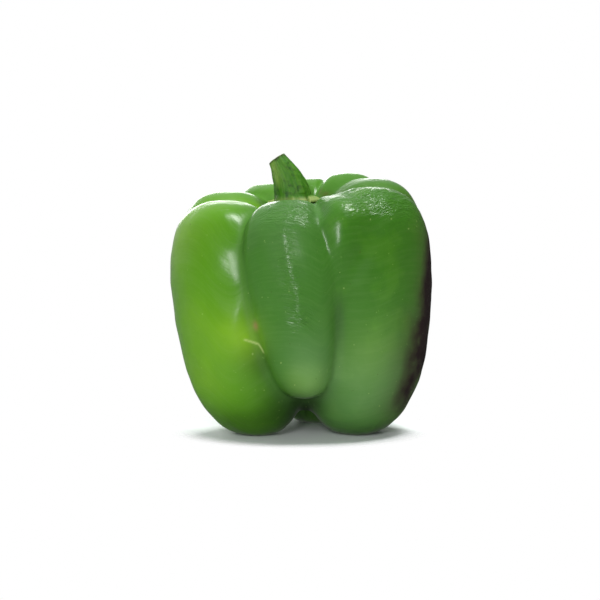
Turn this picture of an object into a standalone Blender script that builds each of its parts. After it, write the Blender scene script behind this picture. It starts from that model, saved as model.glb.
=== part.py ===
"""A green bell pepper standing on its three feet, with its cut stem.

Metres, +Z up, seen from the front along +Y. The origin is on the surface that the pepper stands on,
under the middle of its bounding box. The fruit is one solid: a ring of swollen ridges and a core that
run into each other. The stem is a second solid, with the small calyx that it grew with at its foot.
"""

from functools import partial
from math import acos, atan2, cos, pi, radians, sin
from typing import NamedTuple

import bmesh
import bpy
import numpy as np
from mathutils import Vector
from mathutils.bvhtree import BVHTree


class Ridge(NamedTuple):
    """A tall rounded body beside the fruit's axis, one of those that the fruit is made up of."""

    azimuth: float  # degrees at the shoulder, 0 towards +X, anticlockwise from above
    drift: float  # degrees that the ridge has turned by its foot
    shoulder: float  # from the fruit's axis to the ridge's own, at the shoulder
    foot: float  # and at the foot
    breadth: float  # half its width, round the fruit
    depth: float  # half its thickness, outwards
    low: float  # height of its lower end
    high: float  # height of its shoulder
    taper: float  # share of its section left at the foot


LOBES = {
    "front_lobe": (Ridge(259, 10, 0.0252, 0.0287, 0.0180, 0.0195, 0.0143, 0.0791, 0.66),),
    "right_lobe": (
        Ridge(296, -9, 0.0266, 0.0238, 0.0160, 0.0178, 0.0330, 0.0806, 0.50),
        Ridge(322, 2, 0.0278, 0.0210, 0.0213, 0.0200, 0.0000, 0.0828, 0.93),
        Ridge(12, -22, 0.0228, 0.0200, 0.0188, 0.0196, 0.0060, 0.0848, 0.82),
    ),
    "back_lobe": (
        Ridge(53, 18, 0.0235, 0.0190, 0.0155, 0.0190, 0.0060, 0.0860, 0.95),
        Ridge(87, -12, 0.0235, 0.0175, 0.0150, 0.0190, 0.0005, 0.0840, 1.15),
        Ridge(121, -30, 0.0230, 0.0190, 0.0155, 0.0190, 0.0060, 0.0825, 0.95),
    ),
    "left_lobe": (
        Ridge(168, 26, 0.0262, 0.0140, 0.0200, 0.0203, 0.0060, 0.0803, 0.68),
        Ridge(206, 13, 0.0298, 0.0216, 0.0218, 0.0200, 0.0000, 0.0782, 0.91),
    ),
    "core": (Ridge(270, 0, 0.0, 0.0080, 0.0200, 0.0200, 0.0080, 0.0770, 1.00),),
}
BOXINESS = 2.7  # 2 gives a ridge egg-shaped ends, and more gives squarer shoulders
SECTION_BOXINESS = 2.4  # and the same of its section, seen from above
SWELL = 1.38  # how soon above its foot a ridge reaches its full section

# How sharply surfaces meet, as one over the fillet's size, at these heights: the ridges of one lobe
# are distinct only at the shoulder, and the lobes meet in creases all the way down.
CREASE_HEIGHTS = (0.004, 0.020, 0.050, 0.074)
RIDGE_SHARPNESS = (800, 350, 350, 2000)
LOBE_SHARPNESS = (1500, 1000, 900, 2200)

FRUIT_EYE = 0.043  # height on the axis from which the whole skin can be seen
FRUIT_REACH = 0.080  # further from the eye than any skin
FRUIT_SEGMENTS = 80
FRUIT_RINGS = 52
FOOT_CUT = 0.0007  # what the surface takes off the feet, which leaves a flat spot on each

# The stem leans and bends as it rises from the crown, and narrows to its slanting cut.
STEM_FOOT = (-0.0025, 0.0005, 0.0776)  # on the stem's axis
STEM_LEAN = (-0.080, 0.040)  # sideways for each metre up, at the foot
STEM_BEND = (-19.4, 2.0)  # and how that grows, for each metre up squared
STEM_RADIUS = 0.0063
STEM_TAPER = 0.070
STEM_TAPER_GROWTH = 8.5
STEM_RIBS = 5
STEM_RIB_DEPTH = 0.05  # as a share of the radius
STEM_RIB_TURN = radians(20)
STEM_SEGMENTS = 40
CUT_PEAK = (-0.0056, -0.0015, 0.0937)  # where the two slants of the cut meet, at its front
CUT_LEFT_SLOPE = 0.66
CUT_RIGHT_SLOPE = 1.10
CUT_BACK_SLOPE = 0.20

CALYX_RADIUS = 0.0088
CALYX_POINT = 0.0010  # how far each point reaches beyond the mean edge
CALYX_POINTS = 5
CALYX_GAP = 0.0005  # clear of the fruit's crown

# The stem's and calyx's rings, from the middle of the underside out, up, and in over the cut: the
# calyx's as shares of its radius and heights above its underside, then the side's as shares of the
# way up, then the cut's as shares of the stem's radius.
CALYX_RINGS = (
    (0.00, 0.0000), (0.30, 0.0000), (0.55, 0.0000), (0.78, 0.0000), (0.93, 0.0000), (1.00, 0.0000),
    (1.035, 0.0005), (1.00, 0.0012), (0.90, 0.0016), (0.80, 0.0022),
)
SIDE_RINGS = (0.0, 0.125, 0.25, 0.375, 0.5, 0.625, 0.75, 0.875, 0.97)
SIDE_FOOT = 0.0792  # height of the side's lowest ring
CUT_RINGS = (0.93, 0.60, 0.28, 0.0)


def ridge_distance(points, ridge):
    """About how far outside the ridge each point is, and negative inside it."""
    height = ridge.high - ridge.low
    rise = np.clip((points[:, 2] - ridge.low) / height, 0, 1)
    rise = 1 - (1 - rise) ** SWELL
    angle = np.radians(ridge.azimuth + ridge.drift * (1 - rise))
    axis = ridge.foot + (ridge.shoulder - ridge.foot) * rise
    section = ridge.taper + (1 - ridge.taper) * rise
    outwards = points[:, 0] * np.cos(angle) + points[:, 1] * np.sin(angle) - axis
    sideways = points[:, 1] * np.cos(angle) - points[:, 0] * np.sin(angle)
    across = np.abs(outwards / ridge.depth) ** SECTION_BOXINESS
    across = across + np.abs(sideways / ridge.breadth) ** SECTION_BOXINESS
    across = across ** (1 / SECTION_BOXINESS) / section
    along = np.abs(points[:, 2] - (ridge.low + ridge.high) / 2) / (height / 2)
    return ((across**BOXINESS + along**BOXINESS) ** (1 / BOXINESS) - 1) * ridge.breadth * section


def soft_union(distances, sharpness):
    """The least of these distances, with a fillet where two are near alike."""
    return -np.log(sum(np.exp(-sharpness * distance) for distance in distances)) / sharpness


def eased(height, values):
    """What goes from each of these values to the next between the crease heights, without a kink."""
    place = np.interp(height, CREASE_HEIGHTS, range(len(CREASE_HEIGHTS)))
    step = np.minimum(place.astype(int), len(CREASE_HEIGHTS) - 2)
    share = place - step
    share = share * share * (3 - 2 * share)
    values = np.array(values)
    return values[step] + (values[step + 1] - values[step]) * share


def fruit_distance(points):
    """About how far outside the fruit each point is."""
    ridge_sharpness = eased(points[:, 2], RIDGE_SHARPNESS)
    lobe_sharpness = eased(points[:, 2], LOBE_SHARPNESS)
    lobes = [
        soft_union([ridge_distance(points, ridge) for ridge in ridges], ridge_sharpness)
        for ridges in LOBES.values()
    ]
    return soft_union(lobes, lobe_sharpness)


def skin(directions, steps=48, halvings=26):
    """The skin's points along these unit directions from the fruit's eye."""
    eye = np.array((0, 0, FRUIT_EYE))
    outside = np.full(len(directions), FRUIT_REACH)
    inside = np.zeros(len(directions))
    found = np.zeros(len(directions), bool)
    for reach in np.linspace(FRUIT_REACH, 0, steps)[1:-1]:
        here = fruit_distance(eye + directions * reach) < 0
        inside[here & ~found] = reach
        outside[~here & ~found] = reach
        found |= here
    for _ in range(halvings):
        middle = (inside + outside) / 2
        here = fruit_distance(eye + directions * middle[:, None]) < 0
        inside = np.where(here, middle, inside)
        outside = np.where(here, outside, middle)
    return eye + directions * inside[:, None]


def mesh_object(name, mesh, material, collection):
    made = bpy.data.objects.new(name, mesh)
    mesh.materials.append(material)
    mesh.shade_smooth()
    collection.objects.link(made)
    return made


def make_fruit(material, collection):
    shape = bmesh.new()
    bmesh.ops.create_uvsphere(shape, u_segments=FRUIT_SEGMENTS, v_segments=FRUIT_RINGS, radius=1)
    points = skin(np.array([vertex.co for vertex in shape.verts]))
    points[:, 2] = np.maximum(points[:, 2] - points[:, 2].min() - FOOT_CUT, 0)
    points[:, :2] -= (points[:, :2].max(axis=0) + points[:, :2].min(axis=0)) / 2
    for vertex, point in zip(shape.verts, points):
        vertex.co = point
    mesh = bpy.data.meshes.new("fruit")
    shape.to_mesh(mesh)
    shape.free()
    return mesh_object("fruit", mesh, material, collection)


def stem_point(angle, height, share=1.0):
    """A point on the stem's side, or inside it by a share of its radius."""
    rise = height - STEM_FOOT[2]
    radius = STEM_RADIUS - STEM_TAPER * rise - STEM_TAPER_GROWTH * rise**2
    radius *= share * (1 + STEM_RIB_DEPTH * cos(STEM_RIBS * (angle - STEM_RIB_TURN)))
    x = STEM_FOOT[0] + STEM_LEAN[0] * rise + STEM_BEND[0] * rise**2 + radius * cos(angle)
    y = STEM_FOOT[1] + STEM_LEAN[1] * rise + STEM_BEND[1] * rise**2 + radius * sin(angle)
    return Vector((x, y, height))


def cut_height(x, y):
    """The height of the stem's slanting cut above this spot."""
    aside = x - CUT_PEAK[0]
    slope = CUT_RIGHT_SLOPE if aside > 0 else CUT_LEFT_SLOPE
    return CUT_PEAK[2] - slope * abs(aside) - CUT_BACK_SLOPE * (y - CUT_PEAK[1])


def cut_point(share, angle):
    """Where the stem's side, or the line inside it at this share of its radius, meets the cut."""
    low, high = SIDE_FOOT, CUT_PEAK[2] + 0.002
    for _ in range(30):
        middle = (low + high) / 2
        point = stem_point(angle, middle, share)
        if point.z < cut_height(point.x, point.y):
            low = middle
        else:
            high = middle
    return stem_point(angle, low, share)


def side_point(share, angle):
    """A point on the stem's side, at a share of the way from its foot to the cut."""
    return stem_point(angle, SIDE_FOOT + (cut_point(1.0, angle).z - SIDE_FOOT) * share)


def calyx_point(crown, share, lift, angle):
    """A point of the calyx, at a share of its radius and a height above its underside."""
    reach = share * (CALYX_RADIUS + CALYX_POINT * cos(CALYX_POINTS * angle))
    x = STEM_FOOT[0] + reach * cos(angle)
    y = STEM_FOOT[1] + reach * sin(angle)
    ground = crown.ray_cast(Vector((x, y, 0.2)), Vector((0, 0, -1)))[0]
    return Vector((x, y, ground.z + CALYX_GAP + lift))


def make_stem(fruit, material, collection):
    crown = BVHTree.FromObject(fruit, bpy.context.evaluated_depsgraph_get())
    rings = [partial(calyx_point, crown, share, lift) for share, lift in CALYX_RINGS]
    rings += [partial(side_point, share) for share in SIDE_RINGS]
    rings += [partial(cut_point, share) for share in CUT_RINGS]
    last = len(rings) - 1
    shape = bmesh.new()
    bmesh.ops.create_uvsphere(shape, u_segments=STEM_SEGMENTS, v_segments=last, radius=1)
    for vertex in shape.verts:
        ring = rings[round(last * acos(-max(-1, min(1, vertex.co.z))) / pi)]
        vertex.co = ring(atan2(vertex.co.y, vertex.co.x))
    mesh = bpy.data.meshes.new("stem_and_calyx")
    shape.to_mesh(mesh)
    shape.free()
    return mesh_object("stem_and_calyx", mesh, material, collection)


def make_material(name, colour, roughness):
    material = bpy.data.materials.new(name)
    material.use_nodes = True
    shader = material.node_tree.nodes["Principled BSDF"]
    shader.inputs["Base Color"].default_value = (*colour, 1)
    shader.inputs["Roughness"].default_value = roughness
    shader.inputs["Metallic"].default_value = 0
    return material


def main():
    for old in list(bpy.data.objects):
        bpy.data.objects.remove(old)
    pepper = bpy.data.collections.new("bell_pepper")
    bpy.context.scene.collection.children.link(pepper)
    skin_material = make_material("pepper_skin", (0.08, 0.22, 0.03), 0.25)
    stem_material = make_material("pepper_stem", (0.07, 0.20, 0.02), 0.55)
    fruit = make_fruit(skin_material, pepper)
    make_stem(fruit, stem_material, pepper)


main()
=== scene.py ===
"""A green bell pepper on a pale floor: the lobed fruit with its waxy skin, and its stem and calyx.

Metres, +Z up, seen from the front along +Y. The origin is on the floor under the middle of the fruit.
"""

from math import cos, pi, radians, sin, tau
from typing import NamedTuple

import bmesh
import bpy
import numpy as np
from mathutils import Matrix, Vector
from mathutils.bvhtree import BVHTree


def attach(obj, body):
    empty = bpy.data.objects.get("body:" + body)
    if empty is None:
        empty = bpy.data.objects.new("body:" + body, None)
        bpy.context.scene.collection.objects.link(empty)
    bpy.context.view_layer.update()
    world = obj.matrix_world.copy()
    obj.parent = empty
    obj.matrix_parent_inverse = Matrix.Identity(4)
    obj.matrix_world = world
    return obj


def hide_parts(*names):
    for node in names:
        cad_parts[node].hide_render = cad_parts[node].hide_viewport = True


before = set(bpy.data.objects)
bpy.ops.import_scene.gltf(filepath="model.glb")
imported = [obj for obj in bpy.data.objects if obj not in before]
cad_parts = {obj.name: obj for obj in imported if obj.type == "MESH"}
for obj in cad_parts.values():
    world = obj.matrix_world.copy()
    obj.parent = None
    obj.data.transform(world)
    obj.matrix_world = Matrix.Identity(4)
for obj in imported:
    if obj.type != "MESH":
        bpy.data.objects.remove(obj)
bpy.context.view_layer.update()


# The fruit: a fleshy wall that swelled from the flower's base into lobes, each with one to three
# ridges at its shoulder. Three lobes reach the floor as feet, and the front one hangs short as a
# tongue. It is one piece of skin, the smooth union of a tall rounded body for each ridge.

class Ridge(NamedTuple):
    """One swelling of the wall, as a tall rounded body beside the fruit's axis."""

    azimuth: float  # degrees at the shoulder, 0 towards +X, anticlockwise from above
    drift: float  # degrees that the ridge has turned by its foot
    shoulder: float  # from the fruit's axis to the ridge's own, at the shoulder
    foot: float  # and at the foot
    breadth: float  # half its width, round the fruit
    depth: float  # half its thickness, outwards
    low: float  # height of its lower end
    high: float  # height of its shoulder
    taper: float  # share of its section left at the foot


LOBES = {
    "front_lobe": (Ridge(259, 10, 0.0252, 0.0287, 0.0180, 0.0195, 0.0143, 0.0791, 0.66),),
    "right_lobe": (
        Ridge(296, -9, 0.0266, 0.0238, 0.0160, 0.0178, 0.0330, 0.0806, 0.50),
        Ridge(322, 2, 0.0278, 0.0210, 0.0213, 0.0200, 0.0000, 0.0828, 0.93),
        Ridge(12, -22, 0.0228, 0.0200, 0.0188, 0.0196, 0.0060, 0.0848, 0.82),
    ),
    "back_lobe": (
        Ridge(53, 18, 0.0235, 0.0190, 0.0155, 0.0190, 0.0060, 0.0860, 0.95),
        Ridge(87, -12, 0.0235, 0.0175, 0.0150, 0.0190, 0.0005, 0.0840, 1.15),
        Ridge(121, -30, 0.0230, 0.0190, 0.0155, 0.0190, 0.0060, 0.0825, 0.95),
    ),
    "left_lobe": (
        Ridge(168, 26, 0.0262, 0.0140, 0.0200, 0.0203, 0.0060, 0.0803, 0.68),
        Ridge(206, 13, 0.0298, 0.0216, 0.0218, 0.0200, 0.0000, 0.0782, 0.91),
    ),
    "core": (Ridge(270, 0, 0.0, 0.0080, 0.0200, 0.0200, 0.0080, 0.0770, 1.00),),
}
BOXINESS = 2.7  # 2 gives a ridge egg-shaped ends, and more gives squarer shoulders
SECTION_BOXINESS = 2.4  # and the same of its section, seen from above
SWELL = 1.38  # how soon above its foot a ridge reaches its full section

# How sharply surfaces meet, as one over the fillet's size, at these heights: the ridges of one lobe
# are distinct only at the shoulder, and the lobes meet in creases all the way down.
CREASE_HEIGHTS = (0.004, 0.020, 0.050, 0.074)
RIDGE_SHARPNESS = (800, 350, 350, 2000)
LOBE_SHARPNESS = (1500, 1000, 900, 2200)

FRUIT_EYE = 0.043  # height on the axis from which the whole skin can be seen
FRUIT_REACH = 0.070  # further from the eye than any skin
FRUIT_SEGMENTS = 420
FRUIT_RINGS = 232
FRONT_FINENESS = 0.35  # how much closer the meridians stand at the front than on average
FOOT_CUT = 0.0007  # what the floor takes off the feet


def ridge_distance(points, ridge):
    """About how far outside the ridge each point is, and negative inside it."""
    height = ridge.high - ridge.low
    rise = np.clip((points[..., 2] - ridge.low) / height, 0, 1)
    rise = 1 - (1 - rise) ** SWELL
    angle = np.radians(ridge.azimuth + ridge.drift * (1 - rise))
    axis = ridge.foot + (ridge.shoulder - ridge.foot) * rise
    section = ridge.taper + (1 - ridge.taper) * rise
    outwards = points[..., 0] * np.cos(angle) + points[..., 1] * np.sin(angle) - axis
    sideways = points[..., 1] * np.cos(angle) - points[..., 0] * np.sin(angle)
    across = np.abs(outwards / ridge.depth) ** SECTION_BOXINESS
    across = across + np.abs(sideways / ridge.breadth) ** SECTION_BOXINESS
    across = across ** (1 / SECTION_BOXINESS) / section
    along = np.abs(points[..., 2] - (ridge.low + ridge.high) / 2) / (height / 2)
    return ((across**BOXINESS + along**BOXINESS) ** (1 / BOXINESS) - 1) * ridge.breadth * section


def soft_union(distances, sharpness):
    """The least of these distances, with a fillet where two are near alike."""
    return -np.log(sum(np.exp(-sharpness * distance) for distance in distances)) / sharpness


def eased(height, values):
    """What goes from each of these values to the next between the crease heights, without a kink."""
    place = np.interp(height, CREASE_HEIGHTS, range(len(CREASE_HEIGHTS)))
    step = np.minimum(place.astype(int), len(CREASE_HEIGHTS) - 2)
    share = place - step
    share = share * share * (3 - 2 * share)
    values = np.array(values)
    return values[step] + (values[step + 1] - values[step]) * share


def lobe_distances(points):
    """About how far outside each lobe each point is."""
    sharpness = eased(points[..., 2], RIDGE_SHARPNESS)
    return [
        soft_union([ridge_distance(points, ridge) for ridge in ridges], sharpness)
        for ridges in LOBES.values()
    ]


def fruit_distance(points):
    sharpness = eased(points[..., 2], LOBE_SHARPNESS)
    return soft_union(lobe_distances(points), sharpness)


def skin_reach(eye, directions, steps=42, halvings=12):
    """How far from the eye the skin is along these unit directions."""
    outside = np.full(len(directions), FRUIT_REACH)
    inside = np.zeros(len(directions))
    looking = np.arange(len(directions))
    for reach in np.linspace(FRUIT_REACH, 0, steps)[1:-1]:
        here = fruit_distance(eye + directions[looking] * reach) < 0
        inside[looking[here]] = reach
        looking = looking[~here]
        outside[looking] = reach
    for _ in range(halvings):
        middle = (inside + outside) / 2
        here = fruit_distance(eye + directions * middle[:, None]) < 0
        inside = np.where(here, middle, inside)
        outside = np.where(here, outside, middle)
    return inside


def marks(azimuth, height, table):
    """The sum of soft marks: an azimuth in degrees, a height, their spreads, and a strength."""
    total = np.zeros_like(height)
    for mark_azimuth, mark_height, turn, rise, strength in table:
        aside = (azimuth - mark_azimuth + 180) % 360 - 180
        total += strength * np.exp(-((aside / turn) ** 2) - ((height - mark_height) / rise) ** 2)
    return total


# Shallow hollows in the skin, and swells where the depth is negative: an azimuth in degrees, a
# height, their spreads, and a depth.
DENTS = (
    # soft hollows on the lobes' fronts
    (238, 0.0585, 9, 0.0040, 0.0006),
    (284, 0.0370, 3, 0.0075, 0.0007),
    (300, 0.0700, 9, 0.0040, 0.0004),
    (325, 0.0450, 12, 0.0120, 0.0005),
    (200, 0.0400, 9, 0.0150, 0.0004),
    # the right lobe is fuller beside the tongue, and a fine crease parts it from the tongue's top
    (286, 0.0640, 6, 0.0100, -0.0006),
    (278.5, 0.0765, 2.0, 0.0030, 0.0004),
    (277.5, 0.0790, 4.5, 0.0040, 0.0016),
    # the left lobe is flat beside the tongue, with a low swell along the crease
    (233, 0.0490, 10, 0.0080, 0.0010),
    (230, 0.0690, 8, 0.0070, 0.0007),
    (239, 0.0620, 5, 0.0200, -0.0011),
    # the back ridges part deeply at their crest
    (70, 0.0830, 5, 0.0060, 0.0020),
    (104, 0.0820, 5, 0.0060, 0.0016),
    # a low crest runs down the tongue and catches a line of light
    (259.5, 0.0700, 2.4, 0.0050, -0.00040),
    (261.5, 0.0630, 2.4, 0.0050, -0.00045),
    (264.0, 0.0560, 2.4, 0.0050, -0.00045),
    (266.5, 0.0490, 2.4, 0.0050, -0.00045),
    (268.0, 0.0420, 2.4, 0.0050, -0.00030),
)

ring, segment = np.mgrid[0:FRUIT_RINGS + 1, 0:FRUIT_SEGMENTS]
polar = pi * ring / FRUIT_RINGS
turn = tau * segment / FRUIT_SEGMENTS
turn = turn - FRONT_FINENESS * np.cos(turn)
directions = np.stack(
    (np.sin(polar) * np.cos(turn), np.sin(polar) * np.sin(turn), np.cos(polar)), axis=-1
)
eye = np.array((0, 0, FRUIT_EYE))
reach = skin_reach(eye, directions.reshape(-1, 3)).reshape(ring.shape)
azimuth = np.degrees(turn)
skin_points = eye + directions * reach[..., None]
reach = reach - marks(azimuth, skin_points[..., 2], DENTS)
skin_points = eye + directions * reach[..., None]
front, right, rear, left, core = lobe_distances(skin_points)
skin_points[..., 2] = np.maximum(skin_points[..., 2] - skin_points[..., 2].min() - FOOT_CUT, 0)
middle = (skin_points[..., :2].max(axis=(0, 1)) + skin_points[..., :2].min(axis=(0, 1))) / 2
skin_points[..., :2] -= middle


def draped_sphere(name, grid):
    """A sphere whose rings are moved to these rings of points, and each vertex's place in them."""
    rings, segments = grid.shape[:2]
    sphere = bmesh.new()
    bmesh.ops.create_uvsphere(sphere, u_segments=segments, v_segments=rings - 1, radius=1)
    mesh = bpy.data.meshes.new(name)
    sphere.to_mesh(mesh)
    sphere.free()
    unit = np.empty(len(mesh.vertices) * 3)
    mesh.vertices.foreach_get("co", unit)
    x, y, z = unit.reshape(-1, 3).T
    ring = np.rint(np.arccos(np.clip(z, -1, 1)) / pi * (rings - 1)).astype(int)
    segment = np.rint(np.arctan2(y, x) / tau * segments).astype(int) % segments
    mesh.vertices.foreach_set("co", grid[ring, segment].ravel())
    mesh.shade_smooth()
    made = bpy.data.objects.new(name, mesh)
    bpy.context.scene.collection.objects.link(made)
    return made, (ring, segment)


def keep(piece, name, values):
    """Keeps a number or a vector at each vertex, for the relief and the colours to follow."""
    kind, field = ("FLOAT_VECTOR", "vector") if values.ndim > 1 else ("FLOAT", "value")
    piece.data.attributes.new(name, kind, "POINT").data.foreach_set(field, values.ravel())


# The marks on the skin, in the same way as the hollows, but with a strength in place of a depth.
# Where the skin has crept into fine folds: over the tongue's top, down its crest, and over the
# right shoulder.
FOLDED = (
    (262, 0.0770, 15, 0.0050, 1.0),
    (261, 0.0620, 4, 0.0080, 0.45),
    (265, 0.0500, 4, 0.0080, 0.50),
    (269, 0.0410, 5, 0.0040, 0.90),
    (304, 0.0795, 15, 0.0055, 1.0),
    (325, 0.0800, 14, 0.0060, 0.9),
)
# Paler, yellower skin, where leaves shaded it.
PALE = (
    (202, 0.0668, 16, 0.0120, 0.55),
    (239, 0.0345, 11, 0.0080, 0.85),
    (217, 0.0360, 14, 0.0120, 0.35),
    (215, 0.0200, 18, 0.0080, 0.35),
    (301, 0.0270, 13, 0.0110, 0.30),
    (270, 0.0200, 9, 0.0060, 0.55),
    (120, 0.0600, 22, 0.0150, 0.50),
    (75, 0.0300, 20, 0.0120, 0.40),
    (160, 0.0350, 18, 0.0150, 0.40),
)
# The dark purple blush that the sun brings out on one side, patchy and brown green at its border;
# along the right edge it is also painted shade and painted dark reflection.
BLUSH_AND_EDGE_SHADE = (
    (-14, 0.0640, 17, 0.0100, 0.95),
    (-15, 0.0520, 17, 0.0100, 1.00),
    (-19, 0.0390, 19, 0.0100, 0.85),
    (-26, 0.0260, 19, 0.0095, 0.75),
    (-31, 0.0130, 17, 0.0080, 0.65),
    (12, 0.0570, 22, 0.0170, 0.40),
    (0, 0.0380, 24, 0.0150, 0.30),
    (-10, 0.0750, 15, 0.0060, 0.30),
    (30, 0.0450, 16, 0.0120, 0.18),
)
# Painted shade, as a deeper green: low between the feet, beside the tongue and on the right lobe's
# shoulder.
PAINTED_SHADE = (
    (258, 0.0080, 16, 0.0090, 1.0),
    (275, 0.0080, 10, 0.0060, 0.8),
    (246, 0.0265, 8, 0.0060, 0.45),
    (304, 0.0640, 16, 0.0120, 0.28),
    (286.5, 0.0400, 2.5, 0.0090, 0.35),
    (230, 0.0060, 16, 0.0045, 0.5),
)
# Duller, greyer skin where the wax lies thicker.
BLOOM = (
    (302, 0.0180, 24, 0.0180, 0.45),
    (270, 0.0210, 9, 0.0120, 0.40),
    (262, 0.0700, 12, 0.0100, 0.15),
)
# Where the tongue runs into the right lobe without a crease.
MERGED = ((282, 0.0600, 13, 0.0170, 1.3),)
# A small brown spot.
SPOT = ((245.5, 0.0386, 1.6, 0.0014, 1.0),)
# Where the crown has dried brown beside the calyx.
DRY = ((48, 0.0790, 9, 0.0009, 1.0), (62, 0.0800, 4, 0.0008, 0.8), (30, 0.0785, 5, 0.0006, 0.7))
DRY_REACH = 0.021  # from the axis
# A healed scratch, as a line of azimuths and heights, with the fruit's radius there and its width.
SCRATCH = ((240.6, 0.0340), (246.3, 0.0324), (248.6, 0.0300))
SCRATCH_RADIUS = 0.040
SCRATCH_WIDTH = 0.00032

RUN_RADIUS = 0.035  # of the round that the skin's grain is measured on
COLOUR_SHARPNESS = 400  # how sharply one lobe's colour gives way to the next
CREASE_WIDTH = 0.0020  # of the duller skin where two lobes meet
CALYX_SHELTER = 0.0120  # from the axis: what the calyx covers
SHELTER_EDGE = 0.0040  # over which the relief comes in beyond it
CROWN_FLOOR = 0.060  # lower skin than this is not under the calyx
FOOT_SHELTER = 0.0030  # height over which the relief comes in above the flat spots

height = skin_points[..., 2]
from_axis = np.hypot(skin_points[..., 0], skin_points[..., 1])
steps = np.linalg.norm(np.diff(skin_points, axis=0), axis=-1)
down = np.vstack((np.zeros((1, FRUIT_SEGMENTS)), np.cumsum(steps, axis=0)))
run = np.stack((RUN_RADIUS * np.cos(turn), RUN_RADIUS * np.sin(turn), down), axis=-1)

shares = np.exp(-COLOUR_SHARPNESS * np.stack((front, right, rear, left, core)))
shares = shares / shares.sum(axis=0)
nearest = np.sort(np.stack((front, right, rear, left)), axis=0)
crease = np.exp(-(((nearest[1] - nearest[0]) / CREASE_WIDTH) ** 2))
crease = crease * (1 - np.clip(marks(azimuth, height, MERGED), 0, 1))

scratch = np.zeros_like(height)
for (azimuth_a, height_a), (azimuth_b, height_b) in zip(SCRATCH, SCRATCH[1:]):
    here = np.stack((np.radians(azimuth - azimuth_a) * SCRATCH_RADIUS, height - height_a), axis=-1)
    span = np.array((radians(azimuth_b - azimuth_a) * SCRATCH_RADIUS, height_b - height_a))
    along = np.clip(here @ span / (span @ span), 0, 1)
    away = np.linalg.norm(here - along[..., None] * span, axis=-1)
    scratch = np.maximum(scratch, np.exp(-((away / SCRATCH_WIDTH) ** 2)))

# The relief is left out under the calyx, which lies close on the crown, and on the flat spots.
loose = np.clip((from_axis - CALYX_SHELTER) / SHELTER_EDGE, 0, 1)
loose = np.where(height < CROWN_FLOOR, 1, loose) * np.clip(height / FOOT_SHELTER, 0, 1)

fruit, picked = draped_sphere("pepper_fruit", skin_points)
keep(fruit, "run", run[picked])
keep(fruit, "loose", loose[picked])
keep(fruit, "folded", np.clip(marks(azimuth, height, FOLDED), 0, 1)[picked])
keep(fruit, "tongue", shares[0][picked])
keep(fruit, "left_lobe", shares[3][picked])
keep(fruit, "back_lobe", shares[2][picked])
keep(fruit, "crease", crease[picked])
keep(fruit, "scratch", scratch[picked])
keep(fruit, "dry", (marks(azimuth, height, DRY) * (from_axis < DRY_REACH))[picked])
for name, table in (
    ("pale", PALE), ("blush_and_edge_shade", BLUSH_AND_EDGE_SHADE), ("spot", SPOT), ("painted_shade", PAINTED_SHADE), ("bloom", BLOOM),
):
    keep(fruit, name, marks(azimuth, height, table)[picked])


def node(tree, kind, settings=None, **inputs):
    """Adds a node. Its inputs are given by name, or as _0 or _1 by place, and may be a node."""
    made = tree.nodes.new(kind)
    for name, value in (settings or {}).items():
        setattr(made, name, value)
    for name, value in inputs.items():
        socket = made.inputs[int(name[1:]) if name[1:].isdigit() else name.replace("_", " ")]
        if isinstance(value, bpy.types.Node):
            value = value.outputs[0]
        if isinstance(value, bpy.types.NodeSocket):
            tree.links.new(value, socket)
        else:
            socket.default_value = value
    return made


# Relief of a grown surface: soft swells, and grain in creases that run along the skin's own run.
relief = bpy.data.node_groups.new("growth_relief", "GeometryNodeTree")
relief.interface.new_socket("Geometry", in_out="OUTPUT", socket_type="NodeSocketGeometry")
relief_inputs = {}
for name, kind in (
    ("Geometry", "NodeSocketGeometry"),
    ("Swell Size", "NodeSocketFloat"),
    ("Swell Depth", "NodeSocketFloat"),
    ("Fold Width", "NodeSocketVector"),
    ("Fold Depth", "NodeSocketFloat"),
    ("Seed", "NodeSocketFloat"),
    ("Finish", "NodeSocketMaterial"),
):
    made = relief.interface.new_socket(name, in_out="INPUT", socket_type=kind)
    relief_inputs[name] = made.identifier
given = node(relief, "NodeGroupInput").outputs
run_here = node(relief, "GeometryNodeInputNamedAttribute", {"data_type": "FLOAT_VECTOR"}, Name="run")
folded_here = node(relief, "GeometryNodeInputNamedAttribute", {"data_type": "FLOAT"}, Name="folded")
loose_here = node(relief, "GeometryNodeInputNamedAttribute", {"data_type": "FLOAT"}, Name="loose")
swell_size = node(
    relief, "ShaderNodeCombineXYZ", X=given["Swell Size"], Y=given["Swell Size"], Z=given["Swell Size"]
)
swell_place = node(relief, "ShaderNodeVectorMath", {"operation": "DIVIDE"}, _0=run_here, _1=swell_size)
swell = node(
    relief, "ShaderNodeTexNoise", {"noise_dimensions": "4D"},
    Vector=swell_place, W=given["Seed"], Scale=1.0, Detail=1.5, Roughness=0.4,
)
swell = node(relief, "ShaderNodeMath", {"operation": "SUBTRACT"}, _0=swell, _1=0.5)
swell = node(relief, "ShaderNodeMath", {"operation": "MULTIPLY"}, _0=swell, _1=given["Swell Depth"])
fold_place = node(
    relief, "ShaderNodeVectorMath", {"operation": "DIVIDE"}, _0=run_here, _1=given["Fold Width"]
)
fold = node(
    relief, "ShaderNodeTexNoise", {"noise_dimensions": "4D"},
    Vector=fold_place, W=given["Seed"], Scale=1.0, Detail=2.0, Roughness=0.5, Distortion=0.6,
)
fold = node(relief, "ShaderNodeMath", {"operation": "SUBTRACT"}, _0=fold, _1=0.5)
fold = node(relief, "ShaderNodeMath", {"operation": "MULTIPLY"}, _0=fold, _1=given["Fold Depth"])
fold = node(relief, "ShaderNodeMath", {"operation": "MULTIPLY"}, _0=fold, _1=folded_here)
lift = node(relief, "ShaderNodeMath", {"operation": "ADD"}, _0=swell, _1=fold)
lift = node(relief, "ShaderNodeMath", {"operation": "MULTIPLY"}, _0=lift, _1=loose_here)
outwards = node(
    relief, "ShaderNodeVectorMath", {"operation": "SCALE"},
    _0=node(relief, "GeometryNodeInputNormal"), Scale=lift,
)
shaped = node(relief, "GeometryNodeSetPosition", Geometry=given["Geometry"], Offset=outwards)
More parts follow.
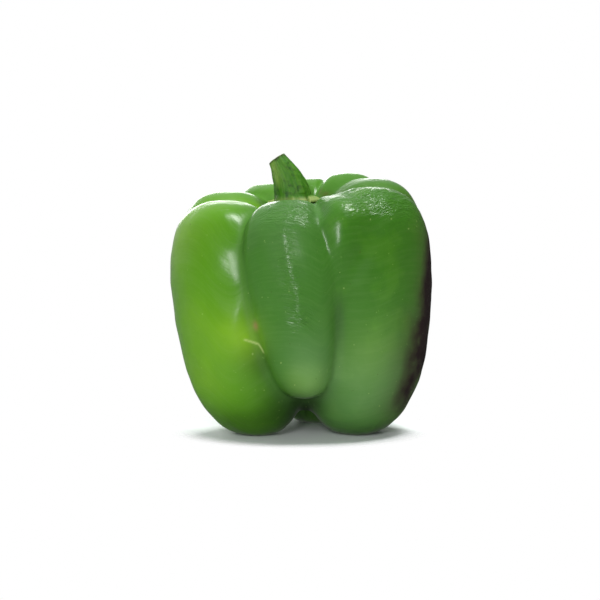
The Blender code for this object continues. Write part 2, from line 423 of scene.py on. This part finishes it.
shaped = node(relief, "GeometryNodeRealizeInstances", Geometry=shaped)
shaped = node(relief, "GeometryNodeSetMaterial", Geometry=shaped, Material=given["Finish"])
node(relief, "NodeGroupOutput", Geometry=shaped)


def roughen(piece, **values):
    """Gives the piece its relief, and leaves it a plain mesh."""
    modifier = piece.modifiers.new("relief", "NODES")
    modifier.node_group = relief
    for name, value in values.items():
        modifier[relief_inputs[name.replace("_", " ")]] = value
    evaluated = piece.evaluated_get(bpy.context.evaluated_depsgraph_get())
    mesh = bpy.data.meshes.new_from_object(evaluated)
    piece.modifiers.remove(modifier)
    piece.data = mesh


def hex_colour(code):
    """An sRGB hex code as a linear colour."""
    channels = [int(code[place:place + 2], 16) / 255 for place in (0, 2, 4)]
    return *(c / 12.92 if c <= 0.04045 else ((c + 0.055) / 1.055) ** 2.4 for c in channels), 1.0


# Waxy pepper skin: smooth, tight and glossy under a thin natural wax, which blurs the lights that it
# mirrors. Chlorophyll gives a deep green that goes yellow where the fruit was shaded.
skin = bpy.data.materials.new("waxy_pepper_skin")
skin.use_nodes = True
tree = skin.node_tree
shader = tree.nodes["Principled BSDF"]
place = node(tree, "ShaderNodeTexCoord").outputs["Object"]
attributes = {
    name: node(tree, "ShaderNodeAttribute", {"attribute_name": name}).outputs["Fac"]
    for name in (
        "tongue", "left_lobe", "back_lobe", "crease", "pale", "bloom", "painted_shade", "blush_and_edge_shade", "spot",
        "scratch", "dry", "folded",
    )
}
run_place = node(tree, "ShaderNodeAttribute", {"attribute_name": "run"}).outputs["Vector"]
# clouds of about 13 mm in the green
mottle = node(tree, "ShaderNodeTexNoise", Vector=place, Scale=1 / 0.013, Detail=3.0, Roughness=0.55)
cloud = node(
    tree, "ShaderNodeMapRange", _0=mottle, From_Min=0.35, From_Max=0.65, To_Min=-0.5, To_Max=0.5
)
# faint streaks round the fruit, 11 mm long and 1.1 mm high
streak_place = node(tree, "ShaderNodeMapping", Vector=run_place, Scale=(90, 90, 900))
streak = node(tree, "ShaderNodeTexNoise", Vector=streak_place, Scale=1.0, Detail=4.0, Roughness=0.7)
streak = node(
    tree, "ShaderNodeMapRange", _0=streak, From_Min=0.45, From_Max=0.75, To_Min=0.0, To_Max=1.0
)

# flecks of about 0.3 mm, the brightest and the darkest specks of a grit of 1.1 mm
grit = node(tree, "ShaderNodeTexNoise", Vector=place, Scale=1 / 0.0011, Detail=1.0, Roughness=0.5)
pale_flecks = node(tree, "ShaderNodeMapRange", _0=grit, From_Min=0.74, From_Max=0.82)
dark_flecks = node(tree, "ShaderNodeMapRange", _0=grit, From_Min=0.23, From_Max=0.17)


def layer(colour, code, mask, strength=1.0, blur=None):
    """Lays a colour over another in the material at hand, where the mask is high.

    A blur breaks the mask's edge up with the material's own cloud.
    """
    if blur is not None:
        edge = node(tree, "ShaderNodeMath", {"operation": "MULTIPLY_ADD"}, _0=cloud, _1=blur, _2=1.0)
        mask = node(tree, "ShaderNodeMath", {"operation": "MULTIPLY"}, _0=mask, _1=edge)
    mask = node(
        tree, "ShaderNodeMath", {"operation": "MULTIPLY", "use_clamp": True}, _0=mask, _1=strength
    )
    mixed = node(
        tree, "ShaderNodeMix", {"data_type": "RGBA"}, _0=mask, _6=colour, _7=hex_colour(code)
    )
    return mixed.outputs[2]


colour = layer(hex_colour("366a18"), "4a801c", cloud, 0.8)
colour = layer(colour, "4e8414", attributes["left_lobe"], 0.9)
colour = layer(colour, "3a6a25", attributes["tongue"], 0.85)
colour = layer(colour, "4a8218", attributes["back_lobe"], 0.7)
colour = layer(colour, "7fac16", attributes["pale"], 0.65, blur=0.35)
colour = layer(colour, "8aa86a", streak, 0.07)
# painted shade: the creases between the lobes are darkened where shade falls in them
colour = layer(colour, "1f470c", attributes["crease"], 0.22)
colour = layer(colour, "688c5c", attributes["bloom"], 1.0, blur=0.3)
# painted shade: a deeper green where the skin lies in shade
colour = layer(colour, "17330a", attributes["painted_shade"], 0.8)
# the blush, partly real colour and partly painted shade and painted dark reflection along the right
# edge
colour = layer(colour, "3d4720", attributes["blush_and_edge_shade"], 1.1, blur=0.7)
# near black at its core: painted shade and painted dark reflection down the right edge
deep = node(tree, "ShaderNodeMapRange", _0=attributes["blush_and_edge_shade"], From_Min=0.40, From_Max=0.95)
colour = layer(colour, "22120f", deep, 0.95, blur=1.4)
colour = layer(colour, "a9c474", pale_flecks, 0.30)
colour = layer(colour, "3c4a12", dark_flecks, 0.60)
colour = layer(colour, "54461f", attributes["dry"], 0.8, blur=0.8)
colour = layer(colour, "8a6a48", attributes["spot"], 0.7)
colour = layer(colour, "b9c77e", attributes["scratch"], 0.45, blur=0.9)
tree.links.new(colour, shader.inputs["Base Color"])

# pores, drawn at 0.9 mm where the real ones are too fine to show, and creep along the streaks
pores = node(tree, "ShaderNodeTexNoise", Vector=place, Scale=1 / 0.0009, Detail=2.0, Roughness=0.5)
creep = node(tree, "ShaderNodeTexNoise", Vector=streak_place, Scale=0.6, Detail=2.0, Roughness=0.5)
bumps = node(tree, "ShaderNodeMath", {"operation": "MULTIPLY_ADD"}, _0=pores, _1=0.3, _2=creep)
# folds in the skin, 4 mm long and 1.1 mm apart, which the relief has coarser
fold_place = node(tree, "ShaderNodeMapping", Vector=run_place, Scale=(260, 260, 900))
folds = node(
    tree, "ShaderNodeTexNoise", Vector=fold_place, Scale=1.0, Detail=2.0, Roughness=0.5, Distortion=0.8
)
folds = node(tree, "ShaderNodeMath", {"operation": "SUBTRACT"}, _0=folds, _1=0.5)
folds = node(tree, "ShaderNodeMath", {"operation": "ABSOLUTE"}, _0=folds)
folds = node(tree, "ShaderNodeMath", {"operation": "MULTIPLY"}, _0=folds, _1=attributes["folded"])
folded = node(tree, "ShaderNodeBump", Strength=1.0, Distance=0.0011, Height=folds)
bump = node(tree, "ShaderNodeBump", Strength=0.35, Distance=0.0002, Height=bumps, Normal=folded)
tree.links.new(bump.outputs["Normal"], shader.inputs["Normal"])
# the blush and the creases are duller than the rest
dull = node(
    tree, "ShaderNodeMath", {"operation": "MAXIMUM"},
    _0=attributes["blush_and_edge_shade"], _1=attributes["crease"],
)
dull = node(
    tree, "ShaderNodeMapRange", {"interpolation_type": "SMOOTHSTEP"},
    _0=dull, From_Min=0.0, From_Max=1.0, To_Min=0.28, To_Max=0.75,
)
tree.links.new(dull.outputs[0], shader.inputs["Roughness"])
shader.inputs["IOR"].default_value = 1.38

roughen(
    fruit, Swell_Size=0.011, Swell_Depth=0.0011, Fold_Width=(0.0060, 0.0060, 0.0014),
    Fold_Depth=0.0011, Seed=3.0, Finish=skin,
)
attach(fruit, "root")
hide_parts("fruit")


# The stem and calyx: the woody green stalk that the fruit hung from, with the flower's small calyx
# spread on the crown at its foot. It was snipped on a slant, and it bends as it grew.
STEM_FOOT = (-0.0025, 0.0005, 0.0776)  # on the stem's axis
STEM_LEAN = (-0.080, 0.040)  # sideways for each metre up, at the foot
STEM_BEND = (-19.4, 2.0)  # and how that grows, for each metre up squared
STEM_RADIUS = 0.0063
STEM_TAPER = 0.070
STEM_TAPER_GROWTH = 8.5
STEM_RIBS = 5
STEM_RIB_DEPTH = 0.05  # as a share of the radius
STEM_RIB_TURN = radians(20)
STEM_SEGMENTS = 160
CUT_PEAK = (-0.0056, -0.0015, 0.0937)  # where the two slants of the cut meet, at its front
CUT_LEFT_SLOPE = 0.66
CUT_RIGHT_SLOPE = 1.10
CUT_BACK_SLOPE = 0.20
CALYX_RADIUS = 0.0088
CALYX_POINT = 0.0010  # how far each point reaches beyond the mean edge
CALYX_POINTS = 5
CALYX_GAP = 0.0005  # clear of the fruit's crown
# The calyx from the middle of its underside, round its edge and up to the stem, as shares of its
# radius and heights above its underside.
CALYX_PROFILE = (
    (0.00, 0.0000), (0.30, 0.0000), (0.55, 0.0000), (0.78, 0.0000), (0.93, 0.0000), (1.00, 0.0000),
    (1.035, 0.0004), (1.00, 0.0009), (0.90, 0.0012), (0.80, 0.0016),
)
CALYX_RINGS = 30
CALYX_DROP = 0.2  # height above all skin, from which the crown below the calyx is sought
SIDE_FOOT = 0.0792  # height of the side's lowest ring
SIDE_RINGS = 70
CUT_RINGS = 22
STEM_RUN_RADIUS = 0.006  # of the round that the stalk's fibres are measured on
RELIEF_FLOOR = 0.0800  # height from which the stalk has its relief
# The pale strip at its front left: an azimuth and its spread, in degrees, and where it begins.
BARE_AZIMUTH = 215
BARE_SPREAD = 26
BARE_FOOT = 0.0810
BARE_EDGE = 0.0040
DRIED_RINGS = 2.5  # how many rings on each side of the cut's edge have dried

stem_turn = tau * np.arange(STEM_SEGMENTS) / STEM_SEGMENTS


def stem_points(height, share=1.0):
    """A ring on the stem's side at these heights, or inside it by a share of its radius."""
    rise = height - STEM_FOOT[2]
    radius = STEM_RADIUS - STEM_TAPER * rise - STEM_TAPER_GROWTH * rise**2
    radius = radius * share * (1 + STEM_RIB_DEPTH * np.cos(STEM_RIBS * (stem_turn - STEM_RIB_TURN)))
    x = STEM_FOOT[0] + STEM_LEAN[0] * rise + STEM_BEND[0] * rise**2 + radius * np.cos(stem_turn)
    y = STEM_FOOT[1] + STEM_LEAN[1] * rise + STEM_BEND[1] * rise**2 + radius * np.sin(stem_turn)
    return np.stack((x, y, height), axis=-1)


def cut_points(share):
    """The ring where the stem, or the part inside it at this share of its radius, meets the cut."""
    low = np.full(STEM_SEGMENTS, SIDE_FOOT)
    high = np.full(STEM_SEGMENTS, CUT_PEAK[2] + 0.002)
    for _ in range(24):
        middle = (low + high) / 2
        x, y, z = stem_points(middle, share).T
        aside = x - CUT_PEAK[0]
        slope = np.where(aside > 0, CUT_RIGHT_SLOPE, CUT_LEFT_SLOPE)
        below = z < CUT_PEAK[2] - slope * np.abs(aside) - CUT_BACK_SLOPE * (y - CUT_PEAK[1])
        low = np.where(below, middle, low)
        high = np.where(below, high, middle)
    return stem_points(low, share)


crown = BVHTree.FromObject(fruit, bpy.context.evaluated_depsgraph_get())


def calyx_points(share, lift):
    """A ring of the calyx, at a share of its radius and a height above its underside."""
    reach = share * (CALYX_RADIUS + CALYX_POINT * np.cos(CALYX_POINTS * stem_turn))
    x = STEM_FOOT[0] + reach * np.cos(stem_turn)
    y = STEM_FOOT[1] + reach * np.sin(stem_turn)
    down = Vector((0, 0, -1))
    ground = [crown.ray_cast(Vector((*spot, CALYX_DROP)), down)[0].z for spot in zip(x, y)]
    return np.stack((x, y, np.array(ground) + CALYX_GAP + lift), axis=-1)


profile = np.array(CALYX_PROFILE)
stations = np.linspace(0, len(profile) - 1, CALYX_RINGS)
stem_rings = [
    calyx_points(*[np.interp(station, range(len(profile)), profile[:, axis]) for axis in (0, 1)])
    for station in stations
]
# the side and the cut both stop just short of the edge between them, which leaves it a little round
rim_height = cut_points(1.0)[:, 2]
stem_rings += [
    stem_points(SIDE_FOOT + (rim_height - SIDE_FOOT) * share)
    for share in np.linspace(0, 0.985, SIDE_RINGS)
]
stem_rings += [cut_points(share) for share in np.linspace(0.97, 0, CUT_RINGS)]
stem_grid = np.stack(stem_rings)[::-1]

stem, picked = draped_sphere("pepper_stem", stem_grid)
stem_ring = picked[0]
at_cut = (stem_ring < CUT_RINGS).astype(float)
at_calyx = (stem_ring >= CUT_RINGS + SIDE_RINGS).astype(float)
stem_run = stem_grid.copy()
stem_run[..., 0] = STEM_RUN_RADIUS * np.cos(stem_turn)
stem_run[..., 1] = STEM_RUN_RADIUS * np.sin(stem_turn)
keep(stem, "run", stem_run[picked])
keep(stem, "loose", np.where(stem_grid[picked][:, 2] > RELIEF_FLOOR, 1.0, 0.0))
keep(stem, "folded", 1 - at_cut)
keep(stem, "cut", at_cut)
keep(stem, "calyx", at_calyx)
bare = np.exp(-(((np.degrees(stem_turn) - BARE_AZIMUTH) / BARE_SPREAD) ** 2))
bare = bare * np.clip((stem_grid[..., 2] - BARE_FOOT) / BARE_EDGE, 0, 1)
keep(stem, "bare", bare[picked])
keep(stem, "dried_edge", np.exp(-(((stem_ring - CUT_RINGS) / DRIED_RINGS) ** 2)))

# Green stalk: a dull, ribbed and faintly fibrous rind, mottled where it has begun to dry.
stalk = bpy.data.materials.new("ribbed_green_stalk")
stalk.use_nodes = True
tree = stalk.node_tree
shader = tree.nodes["Principled BSDF"]
place = node(tree, "ShaderNodeTexCoord").outputs["Object"]
run_place = node(tree, "ShaderNodeAttribute", {"attribute_name": "run"}).outputs["Vector"]
at_cut_here = node(tree, "ShaderNodeAttribute", {"attribute_name": "cut"}).outputs["Fac"]
at_calyx_here = node(tree, "ShaderNodeAttribute", {"attribute_name": "calyx"}).outputs["Fac"]
bare_here = node(tree, "ShaderNodeAttribute", {"attribute_name": "bare"}).outputs["Fac"]
edge_here = node(tree, "ShaderNodeAttribute", {"attribute_name": "dried_edge"}).outputs["Fac"]
# mottles of 1.8 mm, and fibres 0.9 mm apart that run 7 mm, coarser than real ones so that they show
mottle = node(tree, "ShaderNodeTexNoise", Vector=place, Scale=1 / 0.0018, Detail=3.0, Roughness=0.65)
cloud = node(
    tree, "ShaderNodeMapRange", _0=mottle, From_Min=0.35, From_Max=0.65, To_Min=-0.5, To_Max=0.5
)
fibre_place = node(tree, "ShaderNodeMapping", Vector=run_place, Scale=(1100, 1100, 140))
fibre = node(tree, "ShaderNodeTexNoise", Vector=fibre_place, Scale=1.0, Detail=3.0, Roughness=0.6)
fibre = node(
    tree, "ShaderNodeMapRange", _0=fibre, From_Min=0.4, From_Max=0.7, To_Min=0.0, To_Max=1.0
)
colour = layer(hex_colour("36700a"), "1b4408", cloud, 1.5)
colour = layer(colour, "7fb238", fibre, 0.22)
colour = layer(colour, "93b457", bare_here, 0.7, blur=0.4)
colour = layer(colour, "27350f", edge_here, 0.9, blur=0.9)
colour = layer(colour, "839352", at_calyx_here, 0.8, blur=0.5)
colour = layer(colour, "6f7c3e", at_cut_here, 0.8, blur=0.6)
tree.links.new(colour, shader.inputs["Base Color"])
bump = node(tree, "ShaderNodeBump", Strength=0.4, Distance=0.0003, Height=fibre)
tree.links.new(bump.outputs["Normal"], shader.inputs["Normal"])
shader.inputs["Roughness"].default_value = 0.55
shader.inputs["IOR"].default_value = 1.38

roughen(
    stem, Swell_Size=0.0030, Swell_Depth=0.0007, Fold_Width=(0.0009, 0.0009, 0.0080),
    Fold_Depth=0.0006, Seed=5.0, Finish=stalk,
)
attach(stem, "root")
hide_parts("stem_and_calyx")


# The floor: a sheet of smooth paper, painted the grey of the fruit's shadow and no wider than that
# shadow, so it is painted shadow. It takes the fruit's own soft shadow too, and soon thins out into
# the white of the studio. A white card just below it, out of the camera's sight, throws light up at
# the underside. The glossy skin mirrors neither.
SHEET_RADIUS = 0.30
CARD_DEPTH = 0.001  # of the card below the paper
PAPER_SOLID = 0.034  # radius out to which the paper is whole
PAPER_GONE = 0.047  # and from which there is none


def round_sheet(name, finish, colour):
    """A level round sheet that the skin does not mirror, and the nodes of its material."""
    disc = bmesh.new()
    bmesh.ops.create_circle(disc, cap_ends=True, segments=96, radius=SHEET_RADIUS)
    mesh = bpy.data.meshes.new(name)
    disc.to_mesh(mesh)
    disc.free()
    material = bpy.data.materials.new(finish)
    material.use_nodes = True
    material.node_tree.nodes["Principled BSDF"].inputs["Base Color"].default_value = (*colour, 1)
    mesh.materials.append(material)
    sheet = bpy.data.objects.new(name, mesh)
    bpy.context.scene.collection.objects.link(sheet)
    sheet.visible_glossy = False
    return sheet, material.node_tree


# painted shadow: the paper is the grey of the fruit's shadow, and it ends where that shadow ends
floor, tree = round_sheet("floor", "paper_painted_with_shadow", (0.72, 0.76, 0.75))
shader = tree.nodes["Principled BSDF"]
shader.inputs["Roughness"].default_value = 0.8
shader.inputs["Specular IOR Level"].default_value = 0.2
place = node(tree, "ShaderNodeTexCoord").outputs["Object"]
from_middle = node(tree, "ShaderNodeVectorMath", {"operation": "LENGTH"}, _0=place).outputs["Value"]
thinned = node(
    tree, "ShaderNodeMapRange", {"interpolation_type": "SMOOTHSTEP"},
    _0=from_middle, From_Min=PAPER_SOLID, From_Max=PAPER_GONE, To_Min=1.0, To_Max=0.0,
)
tree.links.new(thinned.outputs[0], shader.inputs["Alpha"])

card, tree = round_sheet("bounce_card", "matt_white_card", (0.92, 0.92, 0.92))
card.location.z = -CARD_DEPTH
card.visible_camera = False


# The light: a white surround, dimmer towards the camera, the right and the ground. The skin mirrors
# neither the broad light from above nor the fill. A key high on the right lights the shoulders, a
# tall strip stands near the camera, and a low light behind brightens the crests' edges.
BRIGHTEST_WAY = (-0.30, 0.75, 0.59)  # from the fruit to the brightest part of the surround
DIMMEST = 0.10
BRIGHTER = 0.60  # how much brighter than the dimmest it gets

world = bpy.data.worlds.new("white_surround")
world.use_nodes = True
bpy.context.scene.world = world
tree = world.node_tree
direction = node(tree, "ShaderNodeTexCoord").outputs["Generated"]
behind = node(
    tree, "ShaderNodeVectorMath", {"operation": "DOT_PRODUCT"}, _0=direction, _1=BRIGHTEST_WAY
).outputs["Value"]
behind = node(tree, "ShaderNodeMapRange", _0=behind, From_Min=0.0, From_Max=0.9)
along = node(tree, "ShaderNodeSeparateXYZ", Vector=direction).outputs
aside = node(tree, "ShaderNodeMapRange", _0=along["X"], From_Min=0.45, From_Max=0.0)
below = node(tree, "ShaderNodeMapRange", _0=along["Z"], From_Min=-0.30, From_Max=0.10, To_Min=0.1)
dimmed = node(tree, "ShaderNodeMath", {"operation": "MULTIPLY"}, _0=behind, _1=aside)
dimmed = node(tree, "ShaderNodeMath", {"operation": "MULTIPLY"}, _0=dimmed, _1=below)
dimmed = node(
    tree, "ShaderNodeMath", {"operation": "MULTIPLY_ADD"}, _0=dimmed, _1=BRIGHTER, _2=DIMMEST
)
# the camera itself sees plain white
seen = node(tree, "ShaderNodeLightPath").outputs["Is Camera Ray"]
strength = node(tree, "ShaderNodeMix", {"data_type": "FLOAT"}, _0=seen, _2=dimmed, _3=1.0)
background = tree.nodes["Background"]
background.inputs["Color"].default_value = (1, 1, 1, 1)
tree.links.new(strength.outputs[0], background.inputs["Strength"])

TARGET = Vector((-0.0003, 0.0, 0.0437))  # what the camera and the soft lights face


def soft_light(name, azimuth, elevation, distance, size, power, mirrored=True):
    """A rectangular soft light that faces the target, in degrees, metres and watts.

    Its azimuth starts at the camera's side and grows to the right. Glossy skin may mirror it or not.
    """
    data = bpy.data.lights.new(name, "AREA")
    data.shape = "RECTANGLE"
    data.size, data.size_y = size
    data.energy = power
    light = bpy.data.objects.new(name, data)
    bpy.context.scene.collection.objects.link(light)
    around, up = radians(azimuth), radians(elevation)
    way = Vector((sin(around) * cos(up), -cos(around) * cos(up), sin(up)))
    light.location = TARGET + way * distance
    light.rotation_euler = way.to_track_quat("Z", "Y").to_euler()
    light.visible_glossy = mirrored
    light.visible_camera = False


sun_data = bpy.data.lights.new("top", "SUN")
sun_data.energy = 2.9
sun_data.angle = radians(18)
sun = bpy.data.objects.new("top", sun_data)
bpy.context.scene.collection.objects.link(sun)
sun.visible_glossy = False
way = Vector((-0.02, 0.42, 0.90))  # from the fruit to the light, which stands above and behind
sun.rotation_euler = way.to_track_quat("Z", "Y").to_euler()
soft_light("key", azimuth=88, elevation=72, distance=1.0, size=(0.20, 0.24), power=6.0)
soft_light("strip", azimuth=-8, elevation=18, distance=1.1, size=(0.05, 0.46), power=5.6)
soft_light("fill", azimuth=-24, elevation=22, distance=1.2, size=(1.0, 0.8), power=3.4, mirrored=False)
soft_light("rim", azimuth=-170, elevation=12, distance=0.9, size=(0.50, 0.18), power=1.6)

# The camera: a long lens a little above the fruit's middle, facing it from the front.
CAMERA_DISTANCE = 0.85
CAMERA_ELEVATION = radians(5.5)
FRAME_WIDTH = 0.203  # what the frame takes in at the target
camera_data = bpy.data.cameras.new("camera")
camera_data.lens = camera_data.sensor_width * CAMERA_DISTANCE / FRAME_WIDTH
camera = bpy.data.objects.new("camera", camera_data)
bpy.context.scene.collection.objects.link(camera)
way = Vector((0, -cos(CAMERA_ELEVATION), sin(CAMERA_ELEVATION)))
camera.location = TARGET + way * CAMERA_DISTANCE
camera.rotation_euler = way.to_track_quat("Z", "Y").to_euler()
bpy.context.scene.camera = camera
bpy.context.scene.view_settings.view_transform = "Standard"
